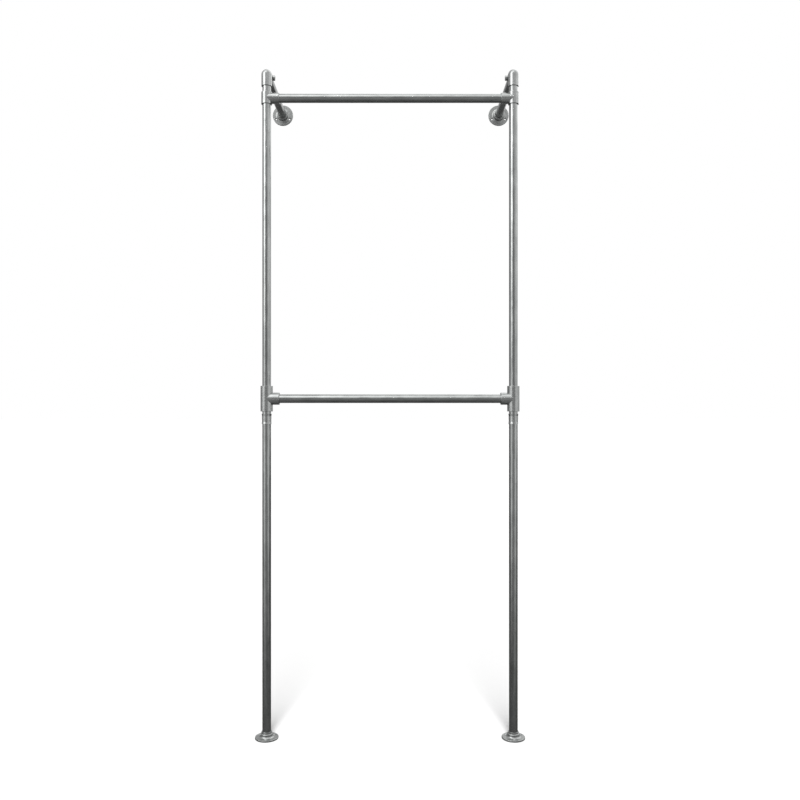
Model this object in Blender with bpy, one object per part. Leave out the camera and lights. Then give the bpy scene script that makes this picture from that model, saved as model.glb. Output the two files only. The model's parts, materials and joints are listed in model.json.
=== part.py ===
"""Garment rack of galvanised pipe and cast clamp fittings.

Two uprights stand on round floor flanges. A mid rail and a top rail run between them in tees, and
an elbow on each upright turns an arm back to a round wall flange. The width runs along X, the
front faces -Y, the wall is at +Y and the floor is the plane z = 0. The origin is the centre of the
footprint. Lengths are in metres.
"""

import math
from dataclasses import dataclass

import bmesh
import bpy
from mathutils import Matrix, Vector

# Pipe
PIPE_OUTER_DIAMETER = 0.0269
PIPE_WALL = 0.0026
FIT_CLEARANCE = 0.0003

# Rack
UPRIGHT_SPACING = 0.767
MID_RAIL_HEIGHT = 1.055
TOP_RAIL_HEIGHT = 1.9888
ARM_ABOVE_TOP_RAIL = 0.0732
WALL_STANDOFF = 0.370

# Flanges on the floor and the wall
FLANGE_DIAMETER = 0.072
FLANGE_THICKNESS = 0.005
FLANGE_HEIGHT = 0.0215
FLANGE_COLLAR_WALL = 0.00245
FLANGE_HUB_WALL = 0.00525
FLANGE_HUB_HEIGHT = 0.0165
FLANGE_HUB_SHOULDER = 0.0022
FLANGE_FILLET = 0.0055
FLANGE_SEAT_HEIGHT = 0.004
FLANGE_SEAT_WIDTH = 0.0025
FLANGE_HOLE_COUNT = 3
FLANGE_HOLE_FROM_RIM = 0.009
FLANGE_HOLE_DIAMETER = 0.0055
COUNTERSINK_DIAMETER = 0.0105

# Coupling sleeve over the joint of the two upright pipes
SLEEVE_LENGTH = 0.0315
SLEEVE_WALL = 0.0007
SLEEVE_RIM_RISE = 0.0010
SLEEVE_RIM_HEIGHT = 0.0066
SLEEVE_RIM_EDGE = 0.0004
SLEEVE_BELOW_TEE = 0.0074

# Tees
MID_TEE_LENGTH = 0.0793
MID_TEE_WALL = 0.00525
MID_TEE_BRANCH_REACH = 0.0398
TOP_TEE_LENGTH = 0.0379
TOP_TEE_WALL = 0.00295
TOP_TEE_BRANCH_REACH = 0.0393
BRANCH_BORE_OVERLAP = 0.004
BRANCH_UNDERSIZE = 0.0001

# Elbows
ELBOW_WALL = 0.00255
ELBOW_SOCKET_DEPTH = 0.0200
ELBOW_WEB = 0.00275
ELBOW_PASSAGE_DIAMETER = 0.016

# Set screws and their bosses
SCREW_DIAMETER = 0.008
SCREW_LENGTH = 0.008
SCREW_KEY_WIDTH = 0.004
SCREW_KEY_DEPTH = 0.0045
SCREW_CUP_DIAMETER = 0.0045
SCREW_CUP_DEPTH = 0.0012
SCREW_CHAMFER = 0.0008
SCREW_RECESS = 0.0005
SCREW_FROM_RIM = 0.0105
BOSS_DIAMETER = 0.016

# Edges and roundness
CAST_EDGE = 0.0008
BRANCH_EDGE = 0.0014
CUT_MARGIN = 0.002
WELD_DISTANCE = 0.000001
ROUND_SEGMENTS = 28
HOLE_SEGMENTS = 12
SCREW_SEGMENTS = 12
HEX_SIDES = 6
FILLET_STEPS = 4
SHOULDER_STEPS = 3
DOME_STEPS = 5
SHARP_ANGLE = math.radians(35)

# Places that follow from the sizes above
pipe_radius = PIPE_OUTER_DIAMETER / 2
bore_radius = pipe_radius + FIT_CLEARANCE
arm_height = TOP_RAIL_HEIGHT + ARM_ABOVE_TOP_RAIL
upright_y = (FLANGE_DIAMETER / 2 - WALL_STANDOFF) / 2
wall_y = upright_y + WALL_STANDOFF
sleeve_top = MID_RAIL_HEIGHT - MID_TEE_LENGTH / 2 - SLEEVE_BELOW_TEE
joint_height = sleeve_top - SLEEVE_LENGTH / 2
elbow_seat = bore_radius + ELBOW_WEB
elbow_rim = elbow_seat + ELBOW_SOCKET_DEPTH
boss_reach = bore_radius + SCREW_LENGTH + SCREW_RECESS

UP = Vector((0, 0, 1))
BACK = Vector((0, 1, 0))
RIGHT = Vector((1, 0, 0))


@dataclass(frozen=True)
class Finish:
    """The surface of one kind of piece."""

    colour: tuple
    roughness: float
    metallic: float


FINISHES = {
    "floor_flange": Finish((0.31, 0.32, 0.32), 0.55, 0.75),
    "lower_upright": Finish((0.20, 0.21, 0.21), 0.42, 0.90),
    "coupling_sleeve": Finish((0.33, 0.34, 0.34), 0.45, 0.85),
    "upper_upright": Finish((0.36, 0.37, 0.37), 0.38, 0.90),
    "mid_tee": Finish((0.34, 0.35, 0.35), 0.50, 0.80),
    "top_tee": Finish((0.38, 0.39, 0.39), 0.48, 0.80),
    "elbow": Finish((0.40, 0.41, 0.41), 0.46, 0.80),
    "mid_rail": Finish((0.30, 0.31, 0.31), 0.38, 0.90),
    "top_rail": Finish((0.30, 0.31, 0.31), 0.38, 0.90),
    "wall_arm": Finish((0.25, 0.26, 0.26), 0.42, 0.90),
    "wall_flange": Finish((0.31, 0.32, 0.32), 0.55, 0.75),
    "screw": Finish((0.06, 0.06, 0.06), 0.35, 0.95),
}


def material_for(kind):
    """The material of one kind of piece, made once and shared by its left and right copies."""
    name = f"{kind}_finish"
    if name in bpy.data.materials:
        return bpy.data.materials[name]
    finish = FINISHES[kind]
    material = bpy.data.materials.new(name)
    material.use_nodes = True
    shader = material.node_tree.nodes["Principled BSDF"]
    shader.inputs["Base Color"].default_value = (*finish.colour, 1)
    shader.inputs["Roughness"].default_value = finish.roughness
    shader.inputs["Metallic"].default_value = finish.metallic
    material.diffuse_color = (*finish.colour, 1)
    return material


def arc(centre, radius, start, end, steps):
    """Points along an arc of a turned outline, from one angle in degrees to another."""
    points = []
    for step in range(steps + 1):
        angle = math.radians(start + (end - start) * step / steps)
        points.append((centre[0] + radius * math.cos(angle), centre[1] + radius * math.sin(angle)))
    return points


def turned(name, outline, segments=ROUND_SEGMENTS):
    """A closed mesh turned about Z from an outline of (radius, height) points.

    The outline closes on itself. Where it runs along the axis, the turned copies merge there.
    """
    shape = bmesh.new()
    ring = [shape.verts.new((radius, 0, height)) for radius, height in outline]
    edges = [shape.edges.new(pair) for pair in zip(ring, ring[1:] + ring[:1])
             if pair[0].co.x > WELD_DISTANCE or pair[1].co.x > WELD_DISTANCE]
    bmesh.ops.spin(
        shape, geom=edges, cent=(0, 0, 0), axis=UP, angle=2 * math.pi, steps=segments, use_merge=True
    )
    bmesh.ops.remove_doubles(shape, verts=shape.verts[:], dist=WELD_DISTANCE)
    bmesh.ops.recalc_face_normals(shape, faces=shape.faces[:])
    mesh = bpy.data.meshes.new(name)
    shape.to_mesh(mesh)
    shape.free()
    return mesh


def rod(name, radius, bottom, top, edge, segments=ROUND_SEGMENTS):
    """A solid rod along Z with both ends eased by a small chamfer."""
    outline = [
        (0, bottom), (radius - edge, bottom), (radius, bottom + edge),
        (radius, top - edge), (radius - edge, top), (0, top),
    ]
    return turned(name, outline, segments)


def plain_rod(name, radius, bottom, top, segments=ROUND_SEGMENTS):
    """A solid rod along Z with square ends."""
    return turned(name, [(0, bottom), (radius, bottom), (radius, top), (0, top)], segments)


def aimed(direction, point=(0, 0, 0)):
    """The matrix that moves a piece to a point and turns its Z axis to a direction along X, Y or Z."""
    return Matrix.Translation(point) @ UP.rotation_difference(Vector(direction)).to_matrix().to_4x4()


def carved(name, blank, joined, removed):
    """One closed mesh: the blank with some solids joined to it and others cut out of it.

    Each joined or removed solid is a pair of its mesh and its matrix. All that is joined is one
    Boolean step and all that is removed is another, because each step rounds its corners.
    """
    body = bpy.data.objects.new(f"{name}_body", blank)
    bpy.context.scene.collection.objects.link(body)
    used = [body]
    groups = []
    for operation, solids in (("UNION", joined), ("DIFFERENCE", removed)):
        if not solids:
            continue
        group = bpy.data.collections.new(f"{name}_{operation.lower()}")
        bpy.context.scene.collection.children.link(group)
        groups.append(group)
        for mesh, matrix in solids:
            tool = bpy.data.objects.new(f"{name}_tool", mesh)
            tool.matrix_world = matrix
            group.objects.link(tool)
            used.append(tool)
        step = body.modifiers.new(operation.lower(), "BOOLEAN")
        step.operation = operation
        step.solver = "EXACT"
        step.operand_type = "COLLECTION"
        step.collection = group
    bpy.context.view_layer.update()
    depsgraph = bpy.context.evaluated_depsgraph_get()
    finished = bpy.data.meshes.new_from_object(body.evaluated_get(depsgraph), depsgraph=depsgraph)
    finished.name = name
    for item in used:
        bpy.data.objects.remove(item)
    for group in groups:
        bpy.data.collections.remove(group)
    return finished


def place(name, kind, mesh, matrix, parent):
    """Add one named piece to the rack, with its material and its smooth faces."""
    if not mesh.materials:
        mesh.materials.append(material_for(kind))
        mesh.shade_smooth()
        mesh.set_sharp_from_angle(angle=SHARP_ANGLE)
    piece = bpy.data.objects.new(name, mesh)
    bpy.context.scene.collection.objects.link(piece)
    piece.parent = parent
    piece.matrix_parent_inverse = Matrix.Identity(4)
    piece.matrix_basis = Matrix.Translation(parent.location).inverted() @ matrix


def pipe(name, length):
    """A length of pipe along Z from its lower end."""
    inner = pipe_radius - PIPE_WALL
    return turned(name, [(inner, 0), (pipe_radius, 0), (pipe_radius, length), (inner, length)])


def flange():
    """The flange casting: a round plate, a stepped hub, a seat for the pipe and countersunk holes."""
    rim = FLANGE_DIAMETER / 2
    hub = bore_radius + FLANGE_HUB_WALL
    collar = bore_radius + FLANGE_COLLAR_WALL
    opening = bore_radius - FLANGE_SEAT_WIDTH
    outline = [
        (opening, 0), (rim - CAST_EDGE, 0), (rim, CAST_EDGE),
        (rim, FLANGE_THICKNESS - CAST_EDGE), (rim - CAST_EDGE, FLANGE_THICKNESS),
    ]
    fillet_centre = (hub + FLANGE_FILLET, FLANGE_THICKNESS + FLANGE_FILLET)
    outline += arc(fillet_centre, FLANGE_FILLET, 270, 180, FILLET_STEPS)
    shoulder_centre = (hub - FLANGE_HUB_SHOULDER, FLANGE_HUB_HEIGHT - FLANGE_HUB_SHOULDER)
    outline += arc(shoulder_centre, FLANGE_HUB_SHOULDER, 0, 90, SHOULDER_STEPS)
    outline += [
        (collar, FLANGE_HUB_HEIGHT), (collar, FLANGE_HEIGHT - CAST_EDGE),
        (collar - CAST_EDGE, FLANGE_HEIGHT), (bore_radius, FLANGE_HEIGHT),
        (bore_radius, FLANGE_SEAT_HEIGHT), (opening, FLANGE_SEAT_HEIGHT),
    ]
    hole = FLANGE_HOLE_DIAMETER / 2
    sink = COUNTERSINK_DIAMETER / 2
    hole_outline = [
        (0, -CUT_MARGIN), (hole, -CUT_MARGIN), (hole, FLANGE_THICKNESS - (sink - hole)),
        (sink, FLANGE_THICKNESS), (sink, FLANGE_THICKNESS + CUT_MARGIN), (0, FLANGE_THICKNESS + CUT_MARGIN),
    ]
    hole_cut = turned("flange_hole", hole_outline, HOLE_SEGMENTS)
    holes = []
    for index in range(FLANGE_HOLE_COUNT):
        turn = Matrix.Rotation(math.radians(90) + index * 2 * math.pi / FLANGE_HOLE_COUNT, 4, "Z")
        holes.append((hole_cut, turn @ Matrix.Translation((rim - FLANGE_HOLE_FROM_RIM, 0, 0))))
    return carved("flange", turned("flange_blank", outline), [], holes)


def sleeve():
    """The coupling sleeve, centred on the joint of the pipes, flared to a rim at each end."""
    body = bore_radius + SLEEVE_WALL
    rim = body + SLEEVE_RIM_RISE
    half = SLEEVE_LENGTH / 2
    upper = [
        (body, half - SLEEVE_RIM_HEIGHT), (rim, half - SLEEVE_RIM_EDGE),
        (rim - SLEEVE_RIM_EDGE, half), (bore_radius, half),
    ]
    lower = [(radius, -height) for radius, height in reversed(upper)]
    return turned("sleeve", lower + upper)


def half_step(mesh, segments):
    """Turn a round mesh by half a facet, so that its edges cross a casting's facets and not its corners."""
    mesh.transform(Matrix.Rotation(math.pi / segments, 4, "Z"))
    return mesh


def boss(name):
    """The raised boss round a set screw, along Z from the pipe's axis to the boss's face."""
    outline = [
        (0, 0), (BOSS_DIAMETER / 2, 0), (BOSS_DIAMETER / 2, boss_reach - CAST_EDGE),
        (BOSS_DIAMETER / 2 - CAST_EDGE, boss_reach), (0, boss_reach),
    ]
    return half_step(turned(name, outline, HOLE_SEGMENTS), HOLE_SEGMENTS)


def screw_hole(name):
    """The hole of a set screw, along Z from the pipe's axis out through the boss."""
    radius = SCREW_DIAMETER / 2 + FIT_CLEARANCE
    return half_step(plain_rod(name, radius, 0, boss_reach + CUT_MARGIN, SCREW_SEGMENTS), SCREW_SEGMENTS)


def tee(name, length, wall, branch_reach):
    """A tee casting: barrel along Z, branch along +X and the bosses of its two screws along +Y."""
    radius = bore_radius + wall
    barrel = rod(f"{name}_barrel", radius, -length / 2, length / 2, CAST_EDGE)
    branch_radius = radius - BRANCH_UNDERSIZE
    branch_outline = [
        (0, 0), (branch_radius, 0), (branch_radius, branch_reach - BRANCH_EDGE),
        (branch_radius - BRANCH_EDGE, branch_reach), (0, branch_reach),
    ]
    branch = turned(f"{name}_branch", branch_outline)
    rail_screw = RIGHT * (branch_reach - SCREW_FROM_RIM)
    bosses = boss(f"{name}_boss")
    holes = screw_hole(f"{name}_screw_hole")
    barrel_bore = plain_rod(f"{name}_bore", bore_radius, -length / 2 - CUT_MARGIN, length / 2 + CUT_MARGIN)
    branch_bore = plain_rod(
        f"{name}_branch_bore", bore_radius, bore_radius - BRANCH_BORE_OVERLAP, branch_reach + CUT_MARGIN
    )
    return carved(
        name,
        barrel,
        [(branch, aimed(RIGHT)), (bosses, aimed(BACK)), (bosses, aimed(BACK, rail_screw))],
        [(barrel_bore, aimed(UP)), (branch_bore, aimed(RIGHT)),
         (holes, aimed(BACK)), (holes, aimed(BACK, rail_screw))],
    )


def elbow(name, inner):
    """An elbow casting round its corner: one socket down, one back, and a domed top.

    The arm's screw is on the inner side, which is +X where inner is 1 and -X where it is -1.
    The upright's screw is behind, under the rear socket.
    """
    radius = bore_radius + ELBOW_WALL
    socket_outline = [(0, -elbow_rim), (radius - CAST_EDGE, -elbow_rim), (radius, -elbow_rim + CAST_EDGE)]
    dome = arc((0, 0), radius, 0, 90, DOME_STEPS)[:-1] + [(0, radius)]
    down = turned(f"{name}_down", socket_outline + dome)
    rear_radius = radius - BRANCH_UNDERSIZE
    rear_outline = [
        (0, 0), (rear_radius, 0), (rear_radius, elbow_rim - CAST_EDGE),
        (rear_radius - CAST_EDGE, elbow_rim), (0, elbow_rim),
    ]
    rear = turned(f"{name}_rear", rear_outline)
    socket_bore = plain_rod(f"{name}_bore", bore_radius, elbow_seat, elbow_rim + CUT_MARGIN)
    passage_end = elbow_seat * math.sqrt(2) + CUT_MARGIN
    passage = plain_rod(
        f"{name}_passage", ELBOW_PASSAGE_DIAMETER / 2, -CUT_MARGIN, passage_end, HOLE_SEGMENTS
    )
    along_corner = Matrix.Translation(-UP * elbow_seat) @ Matrix.Rotation(math.radians(-45), 4, "X")
    from_corner = elbow_rim - SCREW_FROM_RIM
    screws = [aimed(RIGHT * inner, BACK * from_corner), aimed(BACK, -UP * from_corner)]
    bosses = boss(f"{name}_boss")
    holes = screw_hole(f"{name}_screw_hole")
    return carved(
        name,
        down,
        [(rear, aimed(BACK))] + [(bosses, matrix) for matrix in screws],
        [(socket_bore, aimed(-UP)), (socket_bore, aimed(BACK)), (passage, along_corner)]
        + [(holes, matrix) for matrix in screws],
    )


def set_screw():
    """A set screw along Z: a cupped tip at z = 0, and a hexagon socket in its other end."""
    radius = SCREW_DIAMETER / 2
    cup = SCREW_CUP_DIAMETER / 2
    outline = [
        (0, SCREW_CUP_DEPTH), (cup, 0), (radius - SCREW_CHAMFER, 0), (radius, SCREW_CHAMFER),
        (radius, SCREW_LENGTH - SCREW_CHAMFER), (radius - SCREW_CHAMFER, SCREW_LENGTH), (0, SCREW_LENGTH),
    ]
    key_radius = SCREW_KEY_WIDTH / 2 / math.cos(math.pi / HEX_SIDES)
    key = plain_rod(
        "key_socket", key_radius, SCREW_LENGTH - SCREW_KEY_DEPTH, SCREW_LENGTH + CUT_MARGIN, HEX_SIDES
    )
    return carved("set_screw", turned("set_screw_blank", outline, SCREW_SEGMENTS), [], [(key, aimed(UP))])


def assembly(name, location):
    """An empty that the pieces of one assembly are parented to."""
    empty = bpy.data.objects.new(name, None)
    empty.location = location
    bpy.context.scene.collection.objects.link(empty)
    return empty


def add_screw(name, mesh, pipe_point, direction, parent):
    """A set screw whose tip stops just short of the pipe that it clamps."""
    tip = Vector(pipe_point) + Vector(direction) * (pipe_radius + FIT_CLEARANCE)
    place(name, "screw", mesh, aimed(direction, tip), parent)


def add_upright(side, x, meshes, frame):
    """One side's floor flange, two pipes and sleeve."""
    foot = Matrix.Translation((x, upright_y, 0)) @ Matrix.Rotation(math.pi, 4, "Z")
    place(f"floor_flange_{side}", "floor_flange", meshes["floor_flange"], foot, frame)
    lower_start = Vector((x, upright_y, FLANGE_SEAT_HEIGHT + FIT_CLEARANCE))
    place(f"lower_upright_{side}", "lower_upright", meshes["lower_upright"], aimed(UP, lower_start), frame)
    joint = Vector((x, upright_y, joint_height))
    place(f"coupling_sleeve_{side}", "coupling_sleeve", meshes["sleeve"], aimed(UP, joint), frame)
    upper_start = joint + UP * FIT_CLEARANCE / 2
    place(f"upper_upright_{side}", "upper_upright", meshes["upper_upright"], aimed(UP, upper_start), frame)


def add_wall_arm(side, x, inner, meshes, frame):
    """One side's elbow with its two screws, its arm and its wall flange."""
    corner = Vector((x, upright_y, arm_height))
    place(f"elbow_{side}", "elbow", meshes[f"elbow_{side}"], Matrix.Translation(corner), frame)
    from_corner = elbow_rim - SCREW_FROM_RIM
    add_screw(
        f"elbow_arm_screw_{side}", meshes["screw"], corner + BACK * from_corner, RIGHT * inner, frame
    )
    add_screw(f"elbow_upright_screw_{side}", meshes["screw"], corner - UP * from_corner, BACK, frame)
    arm_start = corner + BACK * (elbow_seat + FIT_CLEARANCE)
    place(f"wall_arm_{side}", "wall_arm", meshes["wall_arm"], aimed(BACK, arm_start), frame)
    wall_point = Vector((x, wall_y, arm_height))
    against_wall = Matrix.Translation(wall_point) @ Matrix.Rotation(math.radians(90), 4, "X")
    place(f"wall_flange_{side}", "wall_flange", meshes["wall_flange"], against_wall, frame)


def add_rail(level, height, branch_reach, meshes):
    """One rail with its two tees and their screws, under the empty that slides on the uprights."""
    slide = assembly(f"{level}_rail_assembly", (0, upright_y, height))
    rail_end = UPRIGHT_SPACING / 2 - bore_radius
    rail_start = Vector((-rail_end, upright_y, height))
    place(f"{level}_rail", f"{level}_rail", meshes[f"{level}_rail"], aimed(RIGHT, rail_start), slide)
    for side, inner in (("left", 1), ("right", -1)):
        centre = Vector((-inner * UPRIGHT_SPACING / 2, upright_y, height))
        turn = Matrix.Rotation(0 if inner > 0 else math.pi, 4, "Y")
        facing_in = Matrix.Translation(centre) @ turn
        place(f"{level}_tee_{side}", f"{level}_tee", meshes[f"{level}_tee"], facing_in, slide)
        rail_point = centre + RIGHT * inner * (branch_reach - SCREW_FROM_RIM)
        add_screw(f"{level}_tee_upright_screw_{side}", meshes["screw"], centre, BACK, slide)
        add_screw(f"{level}_tee_rail_screw_{side}", meshes["screw"], rail_point, BACK, slide)


def build():
    """Clear the scene and build the rack."""
    for old in list(bpy.data.objects):
        bpy.data.objects.remove(old)
    lower_length = joint_height - FIT_CLEARANCE / 2 - FLANGE_SEAT_HEIGHT - FIT_CLEARANCE
    upper_length = arm_height - elbow_seat - FIT_CLEARANCE - joint_height - FIT_CLEARANCE / 2
    arm_length = WALL_STANDOFF - FLANGE_SEAT_HEIGHT - elbow_seat - 2 * FIT_CLEARANCE
    rail_length = UPRIGHT_SPACING - 2 * bore_radius
    casting = flange()
    meshes = {
        "floor_flange": casting,
        "wall_flange": casting.copy(),
        "lower_upright": pipe("lower_upright", lower_length),
        "upper_upright": pipe("upper_upright", upper_length),
        "wall_arm": pipe("wall_arm", arm_length),
        "mid_rail": pipe("mid_rail", rail_length),
        "top_rail": pipe("top_rail", rail_length),
        "sleeve": sleeve(),
        "mid_tee": tee("mid_tee", MID_TEE_LENGTH, MID_TEE_WALL, MID_TEE_BRANCH_REACH),
        "top_tee": tee("top_tee", TOP_TEE_LENGTH, TOP_TEE_WALL, TOP_TEE_BRANCH_REACH),
        "elbow_left": elbow("elbow_left", 1),
        "elbow_right": elbow("elbow_right", -1),
        "screw": set_screw(),
    }
    frame = assembly("rack_frame", (0, 0, 0))
    for side, inner in (("left", 1), ("right", -1)):
        x = -inner * UPRIGHT_SPACING / 2
        add_upright(side, x, meshes, frame)
        add_wall_arm(side, x, inner, meshes, frame)
    add_rail("mid", MID_RAIL_HEIGHT, MID_TEE_BRANCH_REACH, meshes)
    add_rail("top", TOP_RAIL_HEIGHT, TOP_TEE_BRANCH_REACH, meshes)


build()
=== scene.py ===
"""The looks of a garment rack of galvanised pipe and cast clamp fittings.

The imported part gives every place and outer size. Each kind of piece is made again as a fine pattern,
with round corners, real threads and castings that meet in crisp corners, and a copy of it is set in
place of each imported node. Pieces are finished in zinc or in blackened steel. Lengths are in metres,
angles in degrees.
"""

import json
import logging
import math
from abc import ABC, abstractmethod
from collections.abc import Iterable, Sequence
from dataclasses import dataclass
from enum import Enum
from typing import Union

import bmesh
import bpy
from mathutils import Matrix, Vector

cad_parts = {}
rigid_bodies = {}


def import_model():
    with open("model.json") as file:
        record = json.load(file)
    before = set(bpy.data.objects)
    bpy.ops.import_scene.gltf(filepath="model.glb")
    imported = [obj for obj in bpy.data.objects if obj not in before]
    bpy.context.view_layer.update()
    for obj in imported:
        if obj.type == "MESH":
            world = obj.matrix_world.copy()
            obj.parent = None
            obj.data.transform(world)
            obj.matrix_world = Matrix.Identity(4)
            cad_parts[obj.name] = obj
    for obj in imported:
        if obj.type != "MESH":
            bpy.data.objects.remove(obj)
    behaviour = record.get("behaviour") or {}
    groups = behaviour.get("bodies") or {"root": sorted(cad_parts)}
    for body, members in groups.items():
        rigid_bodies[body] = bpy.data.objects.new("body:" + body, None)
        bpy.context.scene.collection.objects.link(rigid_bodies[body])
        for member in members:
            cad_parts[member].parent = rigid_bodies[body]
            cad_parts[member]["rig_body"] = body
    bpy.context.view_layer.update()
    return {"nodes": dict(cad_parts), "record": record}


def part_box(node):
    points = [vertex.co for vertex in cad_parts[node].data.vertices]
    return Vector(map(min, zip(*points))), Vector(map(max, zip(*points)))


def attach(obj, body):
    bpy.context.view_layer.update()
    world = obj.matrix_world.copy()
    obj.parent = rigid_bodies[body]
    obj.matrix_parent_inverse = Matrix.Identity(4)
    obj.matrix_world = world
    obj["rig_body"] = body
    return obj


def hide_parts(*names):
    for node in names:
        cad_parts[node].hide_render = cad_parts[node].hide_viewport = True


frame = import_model()

LOG = logging.getLogger("garment_rack")
Colour = tuple[float, float, float]
Corner = tuple[float, float, float]
Place = tuple[float, float, float]
Limits = tuple[float, float]
WHITE = (1, 1, 1, 1)

# Faces that meet at more than this angle keep a sharp edge between them.
SHARP_ANGLE = 12.0
# A round is bent in steps of about this length, and in at least this many of them.
ARC_STEP = 0.0008
LEAST_ARC_STEPS = 9
# Small holes have this many faces round them.
HOLE_STEPS = 48
# Points closer together than this become one.
WELD = 1e-6
# Sizes from the frame are rounded to a micrometre, and the reaches of castings to a hundredth of a
# millimetre, so that like pieces share one pattern.
BOX_DIGITS = 6
REACH_DIGITS = 5
# A Mix node has its sockets for colours under these numbers.
MIX_FACTOR = 0
MIX_FIRST = 6
MIX_SECOND = 7
MIX_RESULT = 2


class Run(Enum):
    """A direction that a pipe, a socket or a screw runs along."""

    RIGHT = (1, 0, 0)
    LEFT = (-1, 0, 0)
    BACK = (0, 1, 0)
    FRONT = (0, -1, 0)
    UP = (0, 0, 1)
    DOWN = (0, 0, -1)

    @property
    def vector(self) -> Vector:
        """The direction as a vector."""
        return Vector(self.value)

    @property
    def index(self) -> int:
        """The number of the axis, 0 for X to 2 for Z."""
        return [abs(part) for part in self.value].index(1)

    def aim(self, point: Vector | Place = (0, 0, 0)) -> Matrix:
        """The matrix that turns +Z to this direction and moves the origin to a point."""
        turn = Vector((0, 0, 1)).rotation_difference(self.vector).to_matrix().to_4x4()
        return Matrix.Translation(point) @ turn


class Side(Enum):
    """One side of the rack, as seen from the front."""

    LEFT = "left"
    RIGHT = "right"

    @property
    def inward(self) -> Run:
        """The direction from this side to the middle of the rack."""
        return Run.RIGHT if self is Side.LEFT else Run.LEFT

    def facing(self, point: Vector) -> Matrix:
        """The matrix of a pattern made for the left side, mirrored on the right side."""
        mirror = Matrix.Identity(4) if self is Side.LEFT else Matrix.Scale(-1, 4, (1, 0, 0))
        return Matrix.Translation(point) @ mirror


Number = Union[float, "Socket"]


class Socket:
    """An output of a shader node, joined to others by Python's operators."""

    def __init__(self, graph: "Graph", output: bpy.types.NodeSocket) -> None:
        """Wrap one output of a node in a graph."""
        self.graph = graph
        self.output = output

    def _math(self, operation: str, left: Number, right: Number) -> "Socket":
        """The result of a Math node on two operands."""
        return self.graph.node("ShaderNodeMath", {"operation": operation}, {0: left, 1: right})

    def __add__(self, other: Number) -> "Socket":
        """This value plus another."""
        return self._math("ADD", self, other)

    def __radd__(self, other: Number) -> "Socket":
        """Another value plus this one."""
        return self._math("ADD", other, self)

    def __sub__(self, other: Number) -> "Socket":
        """This value less another."""
        return self._math("SUBTRACT", self, other)

    def __rsub__(self, other: Number) -> "Socket":
        """Another value less this one."""
        return self._math("SUBTRACT", other, self)

    def __mul__(self, other: Number) -> "Socket":
        """This value times another."""
        return self._math("MULTIPLY", self, other)

    def __rmul__(self, other: Number) -> "Socket":
        """Another value times this one."""
        return self._math("MULTIPLY", other, self)

    def __truediv__(self, other: Number) -> "Socket":
        """This value divided by another."""
        return self._math("DIVIDE", self, other)

    def __rtruediv__(self, other: Number) -> "Socket":
        """Another value divided by this one."""
        return self._math("DIVIDE", other, self)

    def __pow__(self, other: Number) -> "Socket":
        """This value to the power of another."""
        return self._math("POWER", self, other)

    def mixed(self, other: "Socket", share: float) -> "Socket":
        """The given share of this value with the rest of another."""
        return self * share + other * (1 - share)


class Graph:
    """The node tree of a material or of the world, empty at first."""

    def __init__(self, tree: bpy.types.NodeTree) -> None:
        """Clear a tree and keep it."""
        tree.nodes.clear()
        self.tree = tree

    def node(
        self,
        kind: str,
        settings: dict[str, object] | None = None,
        inputs: dict[str | int, object] | None = None,
        output: str | int = 0,
    ) -> Socket | None:
        """Add a node.

        Args:
            kind: The node's Blender type.
            settings: Its properties, set first.
            inputs: A value or a Socket for each input, by name or number.
            output: The output to return, by name or number.

        Returns:
            The chosen output of the new node, or None from a node that has none.
        """
        item = self.tree.nodes.new(kind)
        for name, value in (settings or {}).items():
            setattr(item, name, value)
        for name, value in (inputs or {}).items():
            if isinstance(value, Socket):
                self.tree.links.new(value.output, item.inputs[name])
            else:
                item.inputs[name].default_value = value
        return Socket(self, item.outputs[output]) if item.outputs else None

    def coordinates(self, scale: Place = (1, 1, 1)) -> Socket:
        """Object coordinates, scaled along X, Y and Z."""
        place = self.node("ShaderNodeTexCoord", output="Object")
        return self.node("ShaderNodeMapping", inputs={"Vector": place, "Scale": scale})

    def noise(self, place: Socket, scale: float, detail: float = 3.0, roughness: float = 0.5) -> Socket:
        """Fractal noise from 0 to 1, with its features 1 / scale apart."""
        inputs = {"Vector": place, "Scale": scale, "Detail": detail, "Roughness": roughness}
        return self.node("ShaderNodeTexNoise", inputs=inputs)

    def grain(self, place: Socket, scale: float, roughness: float = 0.6) -> Socket:
        """Noise with more of its fine detail."""
        return self.noise(place, scale, roughness=roughness)

    def step(self, value: Socket, low: float, high: float) -> Socket:
        """A smooth step from 0 at low to 1 at high."""
        settings = {"interpolation_type": "SMOOTHSTEP"}
        return self.node("ShaderNodeMapRange", settings, {"Value": value, "From Min": low, "From Max": high})

    def blend(self, mask: Number, first: Colour | Socket, second: Colour | Socket) -> Socket:
        """Mix two colours.

        Args:
            mask: 0 for the first colour, 1 for the second.
            first: The first colour.
            second: The second colour.

        Returns:
            The mixed colour.
        """
        inputs = {MIX_FACTOR: mask}
        for index, colour in ((MIX_FIRST, first), (MIX_SECOND, second)):
            inputs[index] = colour if isinstance(colour, Socket) else (*colour, 1)
        return self.node("ShaderNodeMix", {"data_type": "RGBA"}, inputs, MIX_RESULT)

    def bump(self, height: Socket, depth: float) -> Socket:
        """A normal for a height that runs from 0 to 1 over a real depth."""
        return self.node("ShaderNodeBump", inputs={"Height": height, "Distance": depth, "Strength": 1.0})

    def surface(self, inputs: dict[str | int, object]) -> None:
        """Close a material's tree with a Principled shader."""
        shader = self.node("ShaderNodeBsdfPrincipled", inputs=inputs)
        self.node("ShaderNodeOutputMaterial", inputs={"Surface": shader})


def new_material(name: str) -> tuple[bpy.types.Material, Graph]:
    """Start a material.

    Args:
        name: Its name.

    Returns:
        The material and its empty graph.
    """
    material = bpy.data.materials.new(name)
    material.use_nodes = True
    return material, Graph(material.node_tree)


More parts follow.
